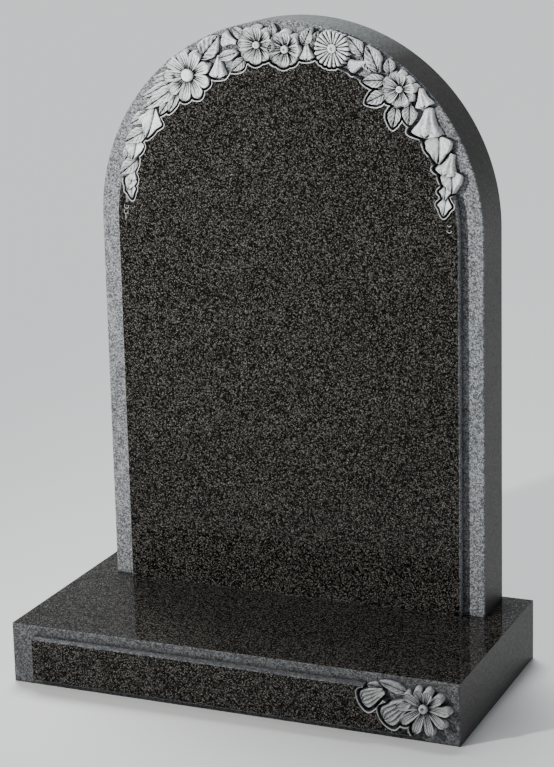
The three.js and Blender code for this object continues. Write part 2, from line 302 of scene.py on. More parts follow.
half_width = base_width / 2
block = dressed(lofted(
    "block",
    [
        boxed(-half_width, 0, half_width, base_height, block_arris, -base_depth),
        boxed(-half_width, 0, half_width, base_height, 0, -base_depth + block_arris),
        boxed(-half_width, 0, half_width, base_height, 0, -block_arris),
        boxed(-half_width, 0, half_width, base_height, block_arris, 0),
    ],
    (HONED, HONED, FROSTED), HONED, FROSTED,
), base_finishes)
# The block's top is polished to a mirror
for face in block.polygons:
    if face.normal.y > 0.9:
        face.material_index = MIRROR
divided(block, cut_square)


# The spray on the base: one large flower and four leaves, carved from the same block as the panel and
# dressed with a fine point, so that the granite shows pale. A deep groove parts it from the panel.
# Its sizes are hundredths of the panel's height, from the block's right end and the foot of the panel.
spray_unit = panel_height / 100
spray_panel_end = 100
spray_flower = {
    "from_end": 77, "up": 62, "petals": 10, "reach": 61, "wide": 21,
    "first": 0, "button": 10, "pit": 0.5, "inner": 0.5, "outer": 0.93, "rise": 0.85,
}
upper_petal_share = 0.72
# Each row gives a leaf's outline, its place, its heading in degrees, its length and width, and the heights
# of its two ends as shares of the relief. A pocket is ground cut away as for a leaf, with no leaf on it.
spray_leaves = [
    ("fan", 110, 72, 219, 70, 52, 0.6, 0.9),
    ("fan", 168, 88, 208, 54, 46, 0.5, 0.8),
    ("lance", 112, 90, 163, 68, 22, 0.5, 0.55),
    ("lance", 168, 92, 172, 38, 22, 0.35, 0.45),
]
spray_pockets = [("lance", 118, 80, 180, 48, 22, 0, 0)]
groove_width = 0.0029
groove_rim = 0.0011
edge_clearance = 0.002
unevenness = 0.0008
unevenness_spacing = 0.004
arris_angle = 32
petal_start_share = 0.6
petal_lap = 0.0012
full_flower = 12

# Half widths from stem (0) to tip (1), as shares of half the full width, how much of the tip is rounded, how
# many teeth the edge has and how deep they are
outlines = {
    "bell": ([(0, 0.3), (0.25, 0.4), (0.5, 0.6), (0.75, 0.92), (0.9, 1), (1, 0.8)], 0.14, 0, 0),
    "fan": ([(0, 0.3), (0.3, 0.62), (0.6, 0.9), (0.85, 1), (1, 0.82)], 0.16, 0, 0),
    "floret": ([(0, 0.4), (1, 1)], 0.12, 0, 0),
    "heart": ([(0, 0.45), (0.12, 0.88), (0.28, 1), (0.5, 0.82), (0.78, 0.4), (1, 0.05)], 0.03, 3, 0.05),
    "ivy": ([(0, 0.25), (0.2, 0.55), (0.42, 1), (0.6, 0.66), (0.8, 0.4), (1, 0.05)], 0.03, 3, 0.05),
    "lance": ([(0, 0.15), (0.2, 0.72), (0.48, 1), (0.78, 0.62), (1, 0.05)], 0.03, 4, 0.06),
    "petal": ([(0, 0.3), (0.42, 0.8), (0.78, 1), (1, 0.6)], 0.16, 0, 0),
}
form_names = sorted(outlines)


def half_width_at(outline, share):
    """The outline's half width at a share of its length: a curve through its knots, with a round tip."""
    knots, rounded, teeth, tooth_depth = outlines[outline]
    last = len(knots) - 1
    slopes = []
    for i in range(last + 1):
        (x0, y0), (x1, y1) = knots[max(i - 1, 0)], knots[min(i + 1, last)]
        slopes.append((y1 - y0) / (x1 - x0))
    step = max(i for i in range(last) if i == 0 or knots[i][0] <= share)
    (x0, y0), (x1, y1) = knots[step], knots[step + 1]
    span = x1 - x0
    t = (share - x0) / span
    width = (
        y0 * (1 + 2 * t) * (1 - t) ** 2
        + y1 * t * t * (3 - 2 * t)
        + slopes[step] * span * t * (1 - t) ** 2
        + slopes[step + 1] * span * t * t * (t - 1)
    )
    beyond = max(0.0, (share - 1 + rounded) / rounded)
    if teeth:
        width *= 1 - tooth_depth * (1 - abs(math.sin(math.pi * teeth * share)))
    return max(0.012, width * math.sqrt(max(0.0, 1 - beyond * beyond)))


def leaf_surface(along, across):
    """A pointed leaf: a valley along the midrib and strong pleats that run from it towards the tip."""
    side = abs(across)
    valley = -0.34 * (1 - side) ** 1.3 - 0.14 * math.exp(-((side / 0.09) ** 2))
    pleats = 0.19 * math.sin(math.tau * (5.0 * along - 1.7 * side)) * math.sqrt(side) * (1 - 0.35 * side)
    return valley + pleats * min(1.0, 4 * (1 - along)) * (1 - side ** 6)


def broad_leaf_surface(along, across):
    """A heart-shaped or ivy leaf: folded along the midrib, almost smooth."""
    side = abs(across)
    valley = -0.30 * (1 - side) ** 1.25 - 0.08 * math.exp(-((side / 0.07) ** 2))
    veins = 0.06 * math.cos(math.tau * (3.0 * along - 1.4 * side)) * side
    return valley + veins


def bell_surface(along, across):
    """A hanging bell: rounded across, lightly fluted, with a lip at its mouth."""
    round_body = -0.30 * across * across
    flutes = 0.07 * math.cos(3.0 * math.pi * across) * min(1.0, 2 * along)
    lip = 0.10 * math.exp(-(((along - 0.92) / 0.07) ** 2))
    return round_body + flutes + lip - 0.08


def fan_surface(along, across):
    """A broad leaf in folds that spread from its stem."""
    side = abs(across)
    folds = 0.08 * math.cos(5 * math.pi * across) * min(1.0, 1.8 * along)
    return folds - 0.20 * (1 - side) ** 2 * (1 - along) - 0.08


def petal_surface(along, across):
    """A petal: hollowed like a spoon, with three fine grooves towards the flower's middle."""
    side = abs(across)
    spoon = -0.42 * (1 - side ** 2.2) * math.sin(math.pi * min(1.0, 0.12 + 0.76 * along)) ** 0.8
    grooves = 0.0
    for place, deep in ((0.0, 0.20), (0.45, 0.24)):
        grooves -= deep * math.exp(-(((side - place) / 0.11) ** 2))
    return spoon + grooves * (1 - 0.55 * along)


def floret_surface(along, across):
    """A narrow petal of a full flower: rounded across, rising to its tip."""
    return -0.55 * across * across + 0.15 * along


# Each form's surface, its steps along and across, how deep its foot goes, how far its edge is rounded and
# how many lobes its end has
form_surfaces = {
    "bell": (bell_surface, 30, 20, 3.0, 0.14, 3),
    "fan": (fan_surface, 26, 40, 3.0, 0.08, 5),
    "floret": (floret_surface, 14, 8, 8.0, 0.34, 1),
    "heart": (broad_leaf_surface, 28, 18, 3.0, 0.10, 1),
    "ivy": (broad_leaf_surface, 28, 18, 3.0, 0.12, 1),
    "lance": (leaf_surface, 40, 22, 3.0, 0.09, 1),
    "petal": (petal_surface, 24, 18, 3.0, 0.16, 1),
}
lobe_depth = 0.10


def unit_form(outline):
    """A closed form one long and one in half width, its top at nought and its foot deep in the stone."""
    surface, stations, facets, foot, rounded_edge, lobes = form_surfaces[outline]

    def ended(along, across):
        """The form's end drawn back between its lobes."""
        if lobes == 1:
            return along
        return along * (1 - lobe_depth * along ** 3 * (1 - abs(math.cos(lobes * math.pi * across / 2))))

    rings = []
    for station in range(stations + 1):
        along = 1 - (1 - station / stations) ** 1.5
        half = half_width_at(outline, along)
        end = max(0.0, (along - 1 + rounded_edge / 2) / (rounded_edge / 2))
        drop = rounded_edge * (1 - math.sqrt(max(0.0, 1 - end * end)))
        top = []
        for facet in range(facets + 1):
            across = (2 * facet / facets - 1) * (1 - rounded_edge)
            top.append((ended(along, across), half * across, surface(along, across) - drop))
        rim = surface(along, 1.0) - drop
        side_end = ended(along, 1.0)
        left = [(side_end, -half, -foot)]
        for turn in (math.radians(degrees) for degrees in (0, 30, 60)):
            lean, up = rounded_edge * math.cos(turn), rounded_edge * math.sin(turn)
            left.append((side_end, -half * (1 - rounded_edge + lean), rim - rounded_edge + up))
        right = [(x, -y, z) for x, y, z in reversed(left)]
        rings.append(left + top + right)
    return lofted(outline, rings, (0,) * stations, 0, 0)


forms = bpy.data.collections.new("carved forms")
for outline in form_names:
    forms.objects.link(bpy.data.objects.new("form " + outline, unit_form(outline)))


def new_tree(name, inputs):
    """An empty node tree with named inputs, and short ways to add and join its nodes."""
    tree = bpy.data.node_groups.new(name, "GeometryNodeTree")
    tree.interface.new_socket("Geometry", in_out="INPUT", socket_type="NodeSocketGeometry")
    for label, kind in inputs:
        tree.interface.new_socket(label, in_out="INPUT", socket_type="NodeSocket" + kind)
    tree.interface.new_socket("Geometry", in_out="OUTPUT", socket_type="NodeSocketGeometry")

    def add(kind, settings=(), **values):
        node = tree.nodes.new(kind)
        for key, value in settings:
            setattr(node, key, value)
        for key, value in values.items():
            socket = node.inputs[int(key[1:])] if key[0] == "i" and key[1:].isdigit() else node.inputs[key]
            if isinstance(value, bpy.types.NodeSocket):
                tree.links.new(value, socket)
            else:
                socket.default_value = value
        return node

    def reckon(operation, first, second=0.0, third=0.0):
        return add(
            "ShaderNodeMath", [("operation", operation)], i0=first, i1=second, i2=third
        ).outputs[0]

    return tree, add, reckon


def grown(tree, mesh, values):
    """Runs a node tree on a mesh with these named inputs, and gives the result as a plain mesh."""
    holder = bpy.data.objects.new("holder", mesh)
    bpy.context.scene.collection.objects.link(holder)
    modifier = holder.modifiers.new(tree.name, "NODES")
    modifier.node_group = tree
    for item in tree.interface.items_tree:
        if item.in_out == "INPUT" and item.name in values:
            modifier[item.identifier] = values[item.name]
    graph = bpy.context.evaluated_depsgraph_get()
    made = bpy.data.meshes.new_from_object(holder.evaluated_get(graph))
    holder.modifiers.clear()
    bpy.data.objects.remove(holder)
    return made


# Leaves set out on the face: each point carries its leaf's outline, heading, sizes and heights
leaf_tree, add, reckon = new_tree(
    "leaves set on the face", [("Forms", "Collection"), ("Relief", "Float"), ("Stone", "Material")]
)
entry = add("NodeGroupInput")


def carried(name, kind="FLOAT"):
    return add("GeometryNodeInputNamedAttribute", [("data_type", kind)], Name=name).outputs["Attribute"]


rise = reckon("SUBTRACT", carried("tip"), carried("root"))
lift = reckon("MULTIPLY", rise, entry.outputs["Relief"])
tilt = reckon("ARCSINE", reckon("DIVIDE", lift, carried("long")))
height = reckon("MULTIPLY", carried("root"), entry.outputs["Relief"])
half = reckon("DIVIDE", carried("wide"), 2.0)
raised = add("GeometryNodeSetPosition", Geometry=entry.outputs["Geometry"])
leaf_tree.links.new(add("ShaderNodeCombineXYZ", Z=height).outputs[0], raised.inputs["Offset"])
turned = add(
    "FunctionNodeEulerToRotation",
    i0=add("ShaderNodeCombineXYZ", Y=reckon("MULTIPLY", tilt, -1.0), Z=carried("heading")).outputs[0],
)
picked = add(
    "GeometryNodeCollectionInfo", Collection=entry.outputs["Forms"],
    **{"Separate Children": True, "Reset Children": True},
)
placed = add(
    "GeometryNodeInstanceOnPoints",
    Points=raised.outputs[0], Instance=picked.outputs[0], Rotation=turned.outputs[0],
    Scale=add("ShaderNodeCombineXYZ", X=carried("long"), Y=half, Z=half).outputs[0],
    **{"Pick Instance": True, "Instance Index": carried("form", "INT")},
)
real = add("GeometryNodeRealizeInstances", Geometry=placed.outputs[0])
finish = add("GeometryNodeSetMaterial", Geometry=real.outputs[0], Material=entry.outputs["Stone"])
add("NodeGroupOutput", Geometry=finish.outputs[0])

# Petals round a flower: as many as it has, each starting under the button's rim and pointing outwards, every
# other one lapped a little under its neighbours
petal_tree, add, reckon = new_tree("petals round a flower", [
    ("Petal", "Object"), ("Petals", "Int"), ("Start", "Float"), ("Reach", "Float"), ("Wide", "Float"),
    ("First", "Float"), ("Inner", "Float"), ("Outer", "Float"), ("Upper share", "Float"), ("Lap", "Float"),
    ("Centre", "Vector"), ("Stone", "Material"),
])
entry = add("NodeGroupInput")
ring = add("GeometryNodeMeshCircle", Vertices=entry.outputs["Petals"], Radius=entry.outputs["Start"])
spun = add("GeometryNodeTransform", Geometry=ring.outputs[0])
petal_tree.links.new(
    add("ShaderNodeCombineXYZ", Z=entry.outputs["First"]).outputs[0], spun.inputs["Rotation"]
)
share = reckon("DIVIDE", add("GeometryNodeInputIndex").outputs[0], entry.outputs["Petals"])
heading = reckon("MULTIPLY_ADD", share, math.tau, entry.outputs["First"])
upward = reckon("MAXIMUM", reckon("SINE", heading), 0.0)
lost = reckon("MULTIPLY", upward, reckon("SUBTRACT", 1.0, entry.outputs["Upper share"]))
reach = reckon("MULTIPLY", entry.outputs["Reach"], reckon("SUBTRACT", 1.0, lost))
long = reckon("SUBTRACT", reach, entry.outputs["Start"])
rise = reckon("SUBTRACT", entry.outputs["Outer"], entry.outputs["Inner"])
tilt = reckon("ARCSINE", reckon("DIVIDE", rise, long))
half = reckon("DIVIDE", entry.outputs["Wide"], 2.0)
turned = add(
    "FunctionNodeEulerToRotation",
    i0=add("ShaderNodeCombineXYZ", Y=reckon("MULTIPLY", tilt, -1.0), Z=heading).outputs[0],
)
shown = add("GeometryNodeObjectInfo", Object=entry.outputs["Petal"])
odd = reckon("MODULO", add("GeometryNodeInputIndex").outputs[0], 2.0)
lapped = add("GeometryNodeSetPosition", Geometry=spun.outputs[0])
sunk = reckon("MULTIPLY", odd, reckon("MULTIPLY", entry.outputs["Lap"], -1.0))
petal_tree.links.new(add("ShaderNodeCombineXYZ", Z=sunk).outputs[0], lapped.inputs["Offset"])
placed = add(
    "GeometryNodeInstanceOnPoints",
    Points=lapped.outputs[0], Instance=shown.outputs["Geometry"], Rotation=turned.outputs[0],
    Scale=add("ShaderNodeCombineXYZ", X=long, Y=half, Z=half).outputs[0],
)
lifted = add(
    "ShaderNodeVectorMath", [("operation", "ADD")],
    i0=entry.outputs["Centre"], i1=add("ShaderNodeCombineXYZ", Z=entry.outputs["Inner"]).outputs[0],
)
moved = add("GeometryNodeSetPosition", Geometry=placed.outputs[0], Offset=lifted.outputs[0])
real = add("GeometryNodeRealizeInstances", Geometry=moved.outputs[0])
finish = add("GeometryNodeSetMaterial", Geometry=real.outputs[0], Material=entry.outputs["Stone"])
add("NodeGroupOutput", Geometry=finish.outputs[0])

# Handwork: no dressed surface is quite even
hand_tree, add, reckon = new_tree(
    "handwork", [("Unevenness", "Float"), ("Spacing", "Float"), ("Stone", "Material")]
)
entry = add("NodeGroupInput")
waver = add(
    "ShaderNodeTexNoise", Scale=reckon("DIVIDE", 1.0, entry.outputs["Spacing"]), Detail=2.0,
    Vector=add("GeometryNodeInputPosition").outputs[0],
)
centred = add("ShaderNodeVectorMath", [("operation", "SUBTRACT")], i0=waver.outputs["Color"])
centred.inputs[1].default_value = (0.5, 0.5, 0.5)
shift = add(
    "ShaderNodeVectorMath", [("operation", "SCALE")],
    i0=centred.outputs[0], Scale=entry.outputs["Unevenness"],
)
moved = add("GeometryNodeSetPosition", Geometry=entry.outputs["Geometry"], Offset=shift.outputs[0])
real = add("GeometryNodeRealizeInstances", Geometry=moved.outputs[0])
finish = add("GeometryNodeSetMaterial", Geometry=real.outputs[0], Material=entry.outputs["Stone"])
add("NodeGroupOutput", Geometry=finish.outputs[0])

# Cutters that run into each other become one closed cutter, whose flared rim leaves a paler stone: the rim
# is every face of it that leans further down than this
rim_lean = -0.3
cut_tree, add, reckon = new_tree("one cutter", [("Stone", "Material"), ("Rim", "Material")])
entry = add("NodeGroupInput")
flat = add("GeometryNodeTriangulate", Mesh=entry.outputs["Geometry"])
island = add("GeometryNodeInputMeshIsland")
parted = add(
    "GeometryNodeSplitToInstances", [("domain", "FACE")],
    Geometry=flat.outputs[0], **{"Group ID": island.outputs["Island Index"]},
)
joined = add("GeometryNodeMeshBoolean", [("operation", "UNION"), ("solver", "MANIFOLD")])
cut_tree.links.new(parted.outputs[0], joined.inputs["Mesh"])
real = add("GeometryNodeRealizeInstances", Geometry=joined.outputs[0])
walls = add("GeometryNodeSetMaterial", Geometry=real.outputs[0], Material=entry.outputs["Stone"])
facing = add("ShaderNodeSeparateXYZ", Vector=add("GeometryNodeInputNormal").outputs[0])
leaning = reckon("LESS_THAN", facing.outputs["Z"], rim_lean)
finish = add(
    "GeometryNodeSetMaterial", Geometry=walls.outputs[0], Selection=leaning, Material=entry.outputs["Rim"]
)
add("NodeGroupOutput", Geometry=finish.outputs[0])


# Lines cut in a face: a round-bottomed stroke along every path
line_tree, add, reckon = new_tree("lines cut in a face", [("Half width", "Float"), ("Stone", "Material")])
entry = add("NodeGroupInput")
paths = add("GeometryNodeMeshToCurve", Mesh=entry.outputs["Geometry"])
section = add("GeometryNodeCurvePrimitiveCircle", Resolution=8, Radius=entry.outputs["Half width"])
strokes = add(
    "GeometryNodeCurveToMesh", Curve=paths.outputs[0],
    **{"Profile Curve": section.outputs[0], "Fill Caps": True},
)
real = add("GeometryNodeRealizeInstances", Geometry=strokes.outputs[0])
finish = add("GeometryNodeSetMaterial", Geometry=real.outputs[0], Material=entry.outputs["Stone"])
add("NodeGroupOutput", Geometry=finish.outputs[0])


def together(name, meshes):
    """Several meshes as one, still as separate closed shells."""
    shape = bmesh.new()
    for mesh in meshes:
        shape.from_mesh(mesh)
    joined_mesh = bpy.data.meshes.new(name)
    shape.to_mesh(joined_mesh)
    shape.free()
    return joined_mesh


def leaf_points(leaves):
    """The points that the leaves stand on, with what each leaf needs."""
    mesh = bpy.data.meshes.new("leaf points")
    mesh.from_pydata([(leaf["x"], leaf["y"], 0.0) for leaf in leaves], [], [])
    for key in ("heading", "long", "wide", "root", "tip"):
        layer = mesh.attributes.new(key, "FLOAT", "POINT")
        layer.data.foreach_set("value", [leaf[key] for leaf in leaves])
    layer = mesh.attributes.new("form", "INT", "POINT")
    layer.data.foreach_set("value", [form_names.index(leaf["outline"]) for leaf in leaves])
    return mesh


# A button's dome from its wall inwards: shares of its radius and of its rise
button_turns = 32
button_dome = ((1, 0.8), (0.97, 0.86), (0.88, 0.92), (0.7, 0.97), (0.5, 1.0), (0.3, 1.0), (0.12, 1.0))
pit_share = 0.5


def flower_button(flower, relief):
    """The flower's round button, a low dome with a pit in its middle."""
    rings = []
    for radius_share, height_share in ((1, None), *button_dome):
        out = -root_depth if height_share is None else relief * flower["rise"] * height_share
        if radius_share < pit_share:
            out -= flower["pit"] * flower["button"] * (1 - radius_share / pit_share)
        radius = flower["button"] * radius_share
        rings.append([
            (
                flower["x"] + radius * math.cos(math.tau * turn / button_turns),
                flower["y"] + radius * math.sin(math.tau * turn / button_turns),
                out,
            )
            for turn in range(button_turns)
        ])
    return lofted("button", rings, (0,) * (len(rings) - 1), 0, 0)


def petal_rows(flower, upper_share):
    """The flower's petals as rows like the leaves', for the ground that is cut round them."""
    start = flower["button"] * petal_start_share
    rows = []
    for count in range(flower["petals"]):
        heading = flower["first"] + math.tau * count / flower["petals"]
        reach = flower["reach"] * (1 - (1 - upper_share) * max(0.0, math.sin(heading)))
        rows.append({
            "outline": "floret" if flower["petals"] > full_flower else "petal",
            "x": flower["x"] + start * math.cos(heading),
            "y": flower["y"] + start * math.sin(heading),
            "heading": heading, "long": reach - start, "wide": flower["wide"],
        })
    return rows


# A groove's cutter goes on a little above the panel's face, so that it opens the face cleanly
groove_samples = 36
groove_knots = 40
groove_overshoot = groove_rim / 5
groove_end_half = 0.00002


def groove_cutter(form, relief):
    """What the chisel takes out round a form: its outline widened, and flared at the panel's face."""
    knots = []
    for i in range(groove_knots + 1):
        share = 1 - (1 - i / groove_knots) ** 1.4
        knots.append((share * form["long"], form["wide"] / 2 * half_width_at(form["outline"], share)))

    def ring(growth, out):
        near, far = [], []
        for i in range(groove_samples + 1):
            share = (1 - math.cos(math.pi * i / groove_samples)) / 2
            along = -growth + (form["long"] + 2 * growth) * share
            reached = [
                half + math.sqrt(max(0.0, growth ** 2 - (along - knot) ** 2))
                for knot, half in knots if abs(along - knot) <= growth * 1.0001
            ]
            half = max(reached) if reached else groove_end_half
            for side, points in ((-1, near), (1, far)):
                across = half * side
                points.append((
                    form["x"] + along * math.cos(form["heading"]) - across * math.sin(form["heading"]),
                    form["y"] + along * math.sin(form["heading"]) + across * math.cos(form["heading"]),
                    out,
                ))
        return near + far[::-1]

    return lofted(
        "groove",
        [
            ring(groove_width, -root_depth * 2),
            ring(groove_width, relief - groove_rim),
            ring(groove_width + groove_rim + groove_overshoot, relief + groove_overshoot),
        ],
        (0, 0), 0, 0,
    )


def worked(name, body, tool, operation):
    """One closed mesh joined to, cut by or kept within another."""
    objects = []
    for mesh in (body, tool):
        holder = bpy.data.objects.new("holder", mesh)
        bpy.context.scene.collection.objects.link(holder)
        objects.append(holder)
    modifier = objects[0].modifiers.new(operation, "BOOLEAN")
    modifier.operation = operation
    modifier.object = objects[1]
    modifier.solver = "MANIFOLD"
    modifier.material_mode = "TRANSFER"
    graph = bpy.context.evaluated_depsgraph_get()
    made = bpy.data.meshes.new_from_object(objects[0].evaluated_get(graph))
    made.name = name
    for holder in objects:
        holder.modifiers.clear()
        bpy.data.objects.remove(holder)
    return made


def carving(leaves, flowers, pockets, relief, upper_share, kept, surface, wall):
    """All the forms of a carving, kept within the stone's edges, and the ground to be cut for them."""
    shells = [grown(leaf_tree, leaf_points(leaves), {"Forms": forms, "Relief": relief, "Stone": surface})]
    rows = list(leaves) + list(pockets)
    for flower in flowers:
        petals = petal_rows(flower, upper_share)
        rows.extend(petals)
        shells.append(flower_button(flower, relief))
        shells.append(grown(petal_tree, bpy.data.meshes.new("empty"), {
            "Petal": forms.objects["form " + petals[0]["outline"]],
            "Petals": flower["petals"],
            "Start": flower["button"] * petal_start_share,
            "Reach": flower["reach"],
            "Wide": flower["wide"],
            "First": flower["first"],
            "Inner": flower["inner"] * relief,
            "Outer": flower["outer"] * relief,
            "Upper share": upper_share,
            "Lap": petal_lap,
            "Centre": (flower["x"], flower["y"], 0.0),
            "Stone": surface,
        }))
    skin = grown(hand_tree, together("forms", shells), {
        "Unevenness": unevenness, "Spacing": unevenness_spacing, "Stone": surface,
    })
    for vert in skin.vertices:
        vert.co.x, vert.co.y = kept(vert.co.x, vert.co.y)
    for face in skin.polygons:
        face.material_index = CARVED
    cutters = [groove_cutter(row, relief) for row in rows]
    return skin, grown(cut_tree, together("grooves", cutters), {"Stone": wall, "Rim": surface})


def finished(name, ground, skin, finishes, face_y, foot_z):
    """Puts the carving on its stone, stands it upright in its place, and smooths what isn't an arris."""
    mesh = dressed(together(name, [ground, skin]), finishes)
    mesh.transform(Matrix.Translation((0, face_y, foot_z)) @ Matrix.Rotation(math.pi / 2, 4, "X"))
    mesh.shade_smooth()
    mesh.set_sharp_from_angle(angle=math.radians(arris_angle))
    piece = bpy.data.objects.new(name, mesh)
    bpy.context.scene.collection.objects.link(piece)
    return piece


def kept_on_base(x, y):
    """The carving stops a little short of the block's edges, where it reaches them."""
    edge = half_width - edge_clearance
    return min(max(x, -edge), edge), min(max(y, edge_clearance), base_height - edge_clearance)


def on_base(row):
    """One row of the spray in metres on the face."""
    outline, from_end, up, turn, long, wide, root, tip = row
    return {
        "outline": outline,
        "x": half_width - spray_unit * from_end, "y": base_bottom_margin + spray_unit * up,
        "heading": math.radians(turn), "long": spray_unit * long, "wide": spray_unit * wide,
        "root": root, "tip": tip,
    }


flower = dict(spray_flower)
flower["x"] = half_width - spray_unit * flower["from_end"]
flower["y"] = base_bottom_margin + spray_unit * flower["up"]
flower["first"] = math.radians(flower["first"])
for key in ("reach", "wide", "button"):
    flower[key] *= spray_unit
spray, spray_ground = carving(
    [on_base(row) for row in spray_leaves], [flower], [on_base(row) for row in spray_pockets],
    base_relief, upper_petal_share, kept_on_base, carved, frosted,
)
panel_left = -half_width + base_end_margin
panel_right = half_width - spray_unit * spray_panel_end
panel_top = base_bottom_margin + panel_height
base_panel = dressed(lofted(
    "base panel",
    [
        boxed(panel_left, base_bottom_margin, panel_right, panel_top, 0, -root_depth),
        boxed(panel_left, base_bottom_margin, panel_right, panel_top, 0, base_relief - panel_arris),
        boxed(panel_left, base_bottom_margin, panel_right, panel_top, panel_arris, base_relief),
    ],
    (FROSTED, FROSTED), FROSTED, POLISHED,
), base_finishes)
base_panel = worked("base panel", divided(base_panel, cut_square), spray_ground, "DIFFERENCE")
base_mesh = worked("base", block, base_panel, "UNION")
base = finished("base_stone", base_mesh, spray, base_finishes, base_face_y, 0.0)
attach(base, "root")
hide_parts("base")


# The headstone: a slab with straight sides and a half-round top, cut from the same granite as its base and
# bedded near the base's back edge. Its margin is sunk and frosted round a raised polished panel.
stone_width = 0.530
stone_height = 0.762
stone_thickness = 0.075
stone_margin = 0.029
stone_relief = 0.012
back_ledge = 0.008
bed_gap = 0.0003
arch_facets = 120
slab_arris = 0.0012
stone_cut_square = 0.016
garland_start = 14
garland_end = 167
panel_arch_step = 0.014
arch_radius = stone_width / 2
spring_line = stone_height - arch_radius
panel_radius = arch_radius - stone_margin
stone_face_y = base_face_y + base_depth - back_ledge - stone_thickness

# The headstone's frosted and carved finishes at full strength; the base's copies of them are darkened as
# painted shade
stone_frosted = granite("pale frosted granite", frosted_shades, (0.40, 0.41, 0.42), **frosted_finish)
stone_carved = granite("pale pointed granite", carved_shades, (0.92, 0.93, 0.94), **carved_finish)
stone_finishes = (polished, stone_frosted, honed, stone_carved)


def arc_points(radius, from_degrees, to_degrees, out, facets):
    """Points along the arch, counted in degrees from its right springing."""
    points = []
    for facet in range(facets + 1):
        angle = math.radians(from_degrees + (to_degrees - from_degrees) * facet / facets)
        points.append((radius * math.cos(angle), spring_line + radius * math.sin(angle), out))
    return points


def slab_ring(inset, out):
    """The slab's outline: its foot and its half-round arch."""
    radius = arch_radius - inset
    return [(-radius, 0, out), (radius, 0, out), *arc_points(radius, 0, 180, out, arch_facets)]


def panel_ring(inset, out):
    """The panel's outline: its arch steps inwards where the garland lies over its edge."""
    radius = panel_radius - inset
    lean = math.degrees(inset / panel_radius)
    right_step = 180 - garland_end - lean
    left_step = 180 - garland_start + lean
    side_facets = round(arch_facets * garland_start / 180)
    return [
        (-radius, inset, out), (radius, inset, out),
        *arc_points(radius, 0, right_step, out, side_facets),
        *arc_points(radius - panel_arch_step, right_step, left_step, out, arch_facets - 2 * side_facets),
        *arc_points(radius, left_step, 180, out, side_facets),
    ]


slab = dressed(lofted(
    "slab",
    [
        slab_ring(slab_arris, -stone_thickness),
        slab_ring(0, -stone_thickness + slab_arris),
        slab_ring(0, -slab_arris),
        slab_ring(slab_arris, 0),
    ],
    (HONED, HONED, FROSTED), POLISHED, FROSTED,
), stone_finishes)
stone_panel = dressed(lofted(
    "stone panel",
    [
        panel_ring(0, -root_depth),
        panel_ring(0, stone_relief - panel_arris),
        panel_ring(panel_arris, stone_relief),
    ],
    (FROSTED, FROSTED), FROSTED, POLISHED,
), stone_finishes)

# The garland: five flowers with leaves and bells between them, over the stone's shoulders and top, carved
# from the slab itself and dressed with a fine point like the spray.
MM = 0.001
# Each row gives a leaf's outline, its place in degrees along the arch from the left springing and
# millimetres outside the panel's edge, its heading in degrees, its length and width in millimetres, and the
# heights of its two ends as shares of the relief. A flower's first petal is given by its heading in degrees.
garland_leaves = [
    ("ivy", 13, -13, 278, 21, 14, 0.75, 1.08),
    ("heart", 15, -14, 250, 19, 17, 0.72, 1.08),
    ("bell", 18.5, -12, 261, 18, 16, 0.65, 1),
    ("lance", 22, -15, 220, 34, 20, 0.65, 1),
    ("lance", 25, 5, 253, 27, 14, 0.25, 0.4),
    ("heart", 27, -2, 263, 26, 28, 0.65, 1.08),
    ("lance", 32.5, -11, 208, 36, 20, 0.65, 1),
    ("lance", 37, 2, 213, 30, 16, 0.25, 0.4),
    ("ivy", 39.5, -2, 256, 40, 36, 0.6, 1.08),
    ("lance", 52.5, -6, 213, 63, 20, 0.75, 0.9),
    ("lance", 50.5, -9, 247, 33, 14, 0.65, 0.9),
    ("lance", 48.5, -7, 238, 36, 16, 0.65, 0.9),
    ("lance", 51.5, 2, 206, 55, 12, 0.65, 0.6),
    ("lance", 52, 6, 198, 38, 10, 0.6, 0.4),
    ("lance", 52.5, 10, 194, 34, 9, 0.5, 0.35),
    ("bell", 68.5, 0, 266, 29, 26, 0.5, 1),
    ("lance", 62, 6, 49, 41, 27, 0.75, 0.65),
    ("lance", 68.5, -4, 17, 30, 14, 0.9, 1.08),
    ("bell", 75.5, 8, 165, 20, 22, 0.65, 0.85),
    ("lance", 77.5, -14, 222, 24, 16, 0.65, 1),
    ("lance", 78.5, 10, 142, 23, 13, 0.5, 0.4),
    ("lance", 87.5, 5, 93, 20, 12, 0.65, 0.75),
    ("lance", 97.5, 1, 62, 24, 17, 0.75, 0.9),
    ("lance", 101, -2, 75, 23, 15, 0.6, 0.75),
    ("bell", 98.5, 5, 270, 22, 22, 0.65, 1),
    ("lance", 116.5, 13, 129, 32, 17, 0.65, 0.75),
    ("lance", 123, 6, 114, 37, 21, 0.85, 0.85),
    ("bell", 118, 8, 198, 23, 18, 0.75, 1),
    ("lance", 116, 14, 304, 26, 16, 0.6, 0.75),
    ("lance", 126, 12, 93, 20, 14, 0.65, 0.75),
    ("lance", 126, 3, 182, 29, 18, 0.65, 1),
    ("lance", 128.5, -9, 206, 28, 18, 0.65, 1),
    ("lance", 133.5, -13, 264, 27, 18, 0.6, 1),
    ("lance", 136, 2, 272, 26, 18, 0.65, 1.08),
    ("bell", 135, 25, 286, 25, 24, 0.6, 1.08),
    ("bell", 140.5, 18, 265, 38, 44, 0.6, 1.15),
    ("heart", 149, 7, 273, 33, 35, 0.65, 1.15),
    ("bell", 155, 13, 252, 29, 30, 0.6, 1.08),
    ("heart", 160, 3, 277, 26, 28, 0.65, 1.15),
    ("ivy", 163.5, -8, 267, 18, 16, 0.75, 1.08),
    ("ivy", 167, -11, 263, 24, 19, 0.85, 1.12),
]
garland_pockets = [("lance", 71, -6, 273, 22, 10, 0, 0)]
